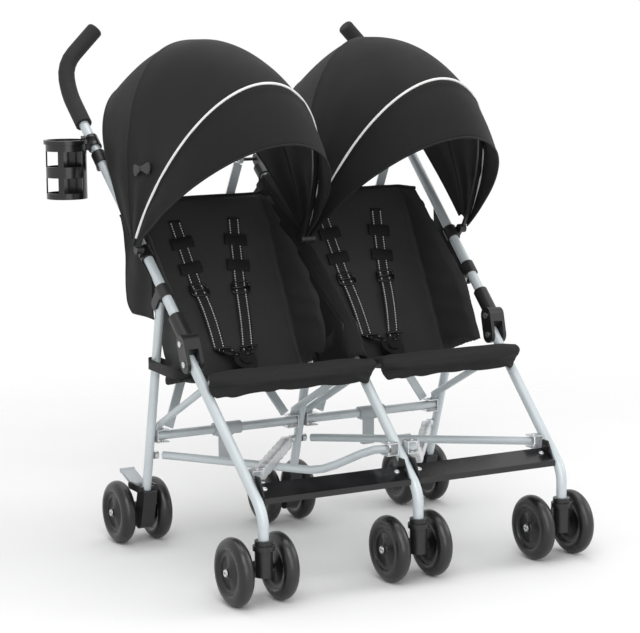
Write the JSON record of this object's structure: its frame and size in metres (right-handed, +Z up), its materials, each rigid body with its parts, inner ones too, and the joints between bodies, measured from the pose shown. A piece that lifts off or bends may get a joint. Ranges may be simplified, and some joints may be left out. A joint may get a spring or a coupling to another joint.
{
  "type": "side by side double stroller",
  "caption": "Side by side double umbrella stroller with sling seats, canopies, harnesses, swivel casters, footrests, foam grips and a cup holder.",
  "frame": {"origin": "on the floor, under the middle column, midway between the front swivel axes and the rear axles", "axes": "+Z up, the front faces -Y, +X to the right of someone looking at the front"},
  "size_m": [0.8562, 0.8514, 1.0412],
  "materials": {
    "frame_paint": "satin silver grey",
    "rear_paint": "satin silver grey",
    "zinc": "plated",
    "grip_foam": "matte foam",
    "wheel_rubber": "satin",
    "grey_plastic": "satin",
    "black_plastic": "satin",
    "seat_cloth": "woven",
    "canopy_cloth": "woven",
    "webbing": "woven"
  },
  "bodies": {
    "frame": {"brace_hangers": "zinc", "brackets": "zinc", "buckle_left": "black_plastic", "buckle_right": "black_plastic", "cup_holder": "black_plastic", "elbow_joints": "black_plastic", "floor_braces": "frame_paint", "footrest_left": "black_plastic", "footrest_right": "black_plastic", "front_leg_left": "frame_paint", "front_leg_middle": "frame_paint", "front_leg_right": "frame_paint", "grip_left": "grip_foam", "grip_right": "grip_foam", "seat_left": "seat_cloth", "seat_right": "seat_cloth", "seat_struts": "frame_paint", "tube_clips": "black_plastic", "upper_tube_left": "frame_paint", "upper_tube_middle": "frame_paint", "upper_tube_right": "frame_paint"},
    "back_left": {"backrest_left": "seat_cloth", "harness_left": "webbing"},
    "hood_left": {"canopy_bow_left": "black_plastic", "canopy_left": "canopy_cloth"},
    "lever_left": {"release_lever_left": "grey_plastic"},
    "pedal_left": {"brake_pedal_left": "grey_plastic"},
    "press_left": {"button_left": "grey_plastic"},
    "back_right": {"backrest_right": "seat_cloth", "harness_right": "webbing"},
    "hood_right": {"canopy_bow_right": "black_plastic", "canopy_right": "canopy_cloth"},
    "lever_right": {"release_lever_right": "grey_plastic"},
    "pedal_right": {"brake_pedal_right": "grey_plastic"},
    "press_right": {"button_right": "grey_plastic"},
    "rear_frame": {"cross_bars": "frame_paint", "knuckles": "grey_plastic", "rear_brackets": "zinc", "rear_housing_left": "black_plastic", "rear_housing_middle": "black_plastic", "rear_housing_right": "black_plastic", "rear_leg_left": "rear_paint", "rear_leg_middle": "rear_paint", "rear_leg_right": "rear_paint"},
    "back_brace_set": {"back_braces": "frame_paint"},
    "swivel_left": {"caster_left": "black_plastic"},
    "spin_front_left_a": {"wheel_front_left_a": "wheel_rubber"},
    "spin_front_left_b": {"wheel_front_left_b": "wheel_rubber"},
    "spin_rear_left_a": {"wheel_rear_left_a": "wheel_rubber"},
    "spin_rear_left_b": {"wheel_rear_left_b": "wheel_rubber"},
    "swivel_middle": {"caster_middle": "black_plastic"},
    "spin_front_middle_a": {"wheel_front_middle_a": "wheel_rubber"},
    "spin_front_middle_b": {"wheel_front_middle_b": "wheel_rubber"},
    "spin_rear_middle_a": {"wheel_rear_middle_a": "wheel_rubber"},
    "spin_rear_middle_b": {"wheel_rear_middle_b": "wheel_rubber"},
    "swivel_right": {"caster_right": "black_plastic"},
    "spin_front_right_a": {"wheel_front_right_a": "wheel_rubber"},
    "spin_front_right_b": {"wheel_front_right_b": "wheel_rubber"},
    "spin_rear_right_a": {"wheel_rear_right_a": "wheel_rubber"},
    "spin_rear_right_b": {"wheel_rear_right_b": "wheel_rubber"}
  },
  "joints": [
    {"name": "fold", "type": "hinge", "parent": "frame", "child": "rear_frame", "pos_m": [0, 0.11, 0.508], "axis": [-1, 0, 0], "range_deg": [0, 44]},
    {"name": "brace_swing", "type": "hinge", "parent": "frame", "child": "back_brace_set", "pos_m": [0, 0.374, 0.758], "axis": [-1, 0, 0], "range_deg": [0, 17.2], "deforming": ["backrest_left", "backrest_right", "harness_left", "harness_right", "seat_left", "seat_right"]},
    {"name": "release_left", "type": "hinge", "parent": "rear_frame", "child": "lever_left", "pos_m": [-0.16846, 0.20144, 0.218], "axis": [1, 0, 0], "range_deg": [0, 114.5]},
    {"name": "brake_left", "type": "hinge", "parent": "rear_frame", "child": "pedal_left", "pos_m": [-0.331, 0.268, 0.118], "axis": [-1, 0, 0], "range_deg": [0, 20]},
    {"name": "recline_left", "type": "hinge", "parent": "frame", "child": "back_left", "pos_m": [-0.16918, 0.1314, 0.3564], "axis": [-1, 0, 0], "range_deg": [0, 8]},
    {"name": "canopy_fold_left", "type": "hinge", "parent": "frame", "child": "hood_left", "pos_m": [-0.192, 0.154, 0.61], "axis": [-1, 0, 0], "range_deg": [0, 65], "deforming": ["canopy_left"]},
    {"name": "buckle_press_left", "type": "slide", "parent": "frame", "child": "press_left", "axis": [0, 0.5736, -0.8192], "range_m": [0, 0.003], "stiffness_N_per_m": 300},
    {"name": "release_right", "type": "hinge", "parent": "rear_frame", "child": "lever_right", "pos_m": [0.16846, 0.20144, 0.218], "axis": [1, 0, 0], "range_deg": [0, 114.5]},
    {"name": "brake_right", "type": "hinge", "parent": "rear_frame", "child": "pedal_right", "pos_m": [0.331, 0.268, 0.118], "axis": [-1, 0, 0], "range_deg": [0, 20]},
    {"name": "recline_right", "type": "hinge", "parent": "frame", "child": "back_right", "pos_m": [0.16918, 0.1314, 0.3564], "axis": [-1, 0, 0], "range_deg": [0, 8]},
    {"name": "canopy_fold_right", "type": "hinge", "parent": "frame", "child": "hood_right", "pos_m": [0.192, 0.154, 0.61], "axis": [-1, 0, 0], "range_deg": [0, 65], "deforming": ["canopy_right"]},
    {"name": "buckle_press_right", "type": "slide", "parent": "frame", "child": "press_right", "axis": [0, 0.5736, -0.8192], "range_m": [0, 0.003], "stiffness_N_per_m": 300},
    {"name": "swivel_turn_left", "type": "hinge", "parent": "frame", "child": "swivel_left", "pos_m": [-0.326, -0.2778, 0.112], "axis": [0, 0, 1], "continuous": true},
    {"name": "front_spin_left_a", "type": "hinge", "parent": "swivel_left", "child": "spin_front_left_a", "pos_m": [-0.3717, -0.2495, 0.0635], "axis": [1, 0, 0], "continuous": true},
    {"name": "rear_spin_left_a", "type": "hinge", "parent": "rear_frame", "child": "spin_rear_left_a", "pos_m": [-0.371, 0.2778, 0.0635], "axis": [1, 0, 0], "continuous": true},
    {"name": "front_spin_left_b", "type": "hinge", "parent": "swivel_left", "child": "spin_front_left_b", "pos_m": [-0.2803, -0.2495, 0.0635], "axis": [1, 0, 0], "continuous": true},
    {"name": "rear_spin_left_b", "type": "hinge", "parent": "rear_frame", "child": "spin_rear_left_b", "pos_m": [-0.291, 0.2778, 0.0635], "axis": [1, 0, 0], "continuous": true},
    {"name": "swivel_turn_middle", "type": "hinge", "parent": "frame", "child": "swivel_middle", "pos_m": [0, -0.2778, 0.112], "axis": [0, 0, 1], "continuous": true},
    {"name": "front_spin_middle_a", "type": "hinge", "parent": "swivel_middle", "child": "spin_front_middle_a", "pos_m": [-0.0457, -0.2495, 0.0635], "axis": [1, 0, 0], "continuous": true},
    {"name": "rear_spin_middle_a", "type": "hinge", "parent": "rear_frame", "child": "spin_rear_middle_a", "pos_m": [-0.04, 0.2778, 0.0635], "axis": [1, 0, 0], "continuous": true},
    {"name": "front_spin_middle_b", "type": "hinge", "parent": "swivel_middle", "child": "spin_front_middle_b", "pos_m": [0.0457, -0.2495, 0.0635], "axis": [1, 0, 0], "continuous": true},
    {"name": "rear_spin_middle_b", "type": "hinge", "parent": "rear_frame", "child": "spin_rear_middle_b", "pos_m": [0.04, 0.2778, 0.0635], "axis": [1, 0, 0], "continuous": true},
    {"name": "swivel_turn_right", "type": "hinge", "parent": "frame", "child": "swivel_right", "pos_m": [0.326, -0.2778, 0.112], "axis": [0, 0, 1], "continuous": true},
    {"name": "front_spin_right_a", "type": "hinge", "parent": "swivel_right", "child": "spin_front_right_a", "pos_m": [0.2803, -0.2495, 0.0635], "axis": [1, 0, 0], "continuous": true},
    {"name": "rear_spin_right_a", "type": "hinge", "parent": "rear_frame", "child": "spin_rear_right_a", "pos_m": [0.291, 0.2778, 0.0635], "axis": [1, 0, 0], "continuous": true},
    {"name": "front_spin_right_b", "type": "hinge", "parent": "swivel_right", "child": "spin_front_right_b", "pos_m": [0.3717, -0.2495, 0.0635], "axis": [1, 0, 0], "continuous": true},
    {"name": "rear_spin_right_b", "type": "hinge", "parent": "rear_frame", "child": "spin_rear_right_b", "pos_m": [0.371, 0.2778, 0.0635], "axis": [1, 0, 0], "continuous": true}
  ],
  "couplings": [
    {"joint": "brace_swing", "follows": "fold", "ratio": 0.39},
    {"joint": "release_left", "follows": "fold", "ratio": 2.6},
    {"joint": "release_right", "follows": "fold", "ratio": 2.6}
  ]
}
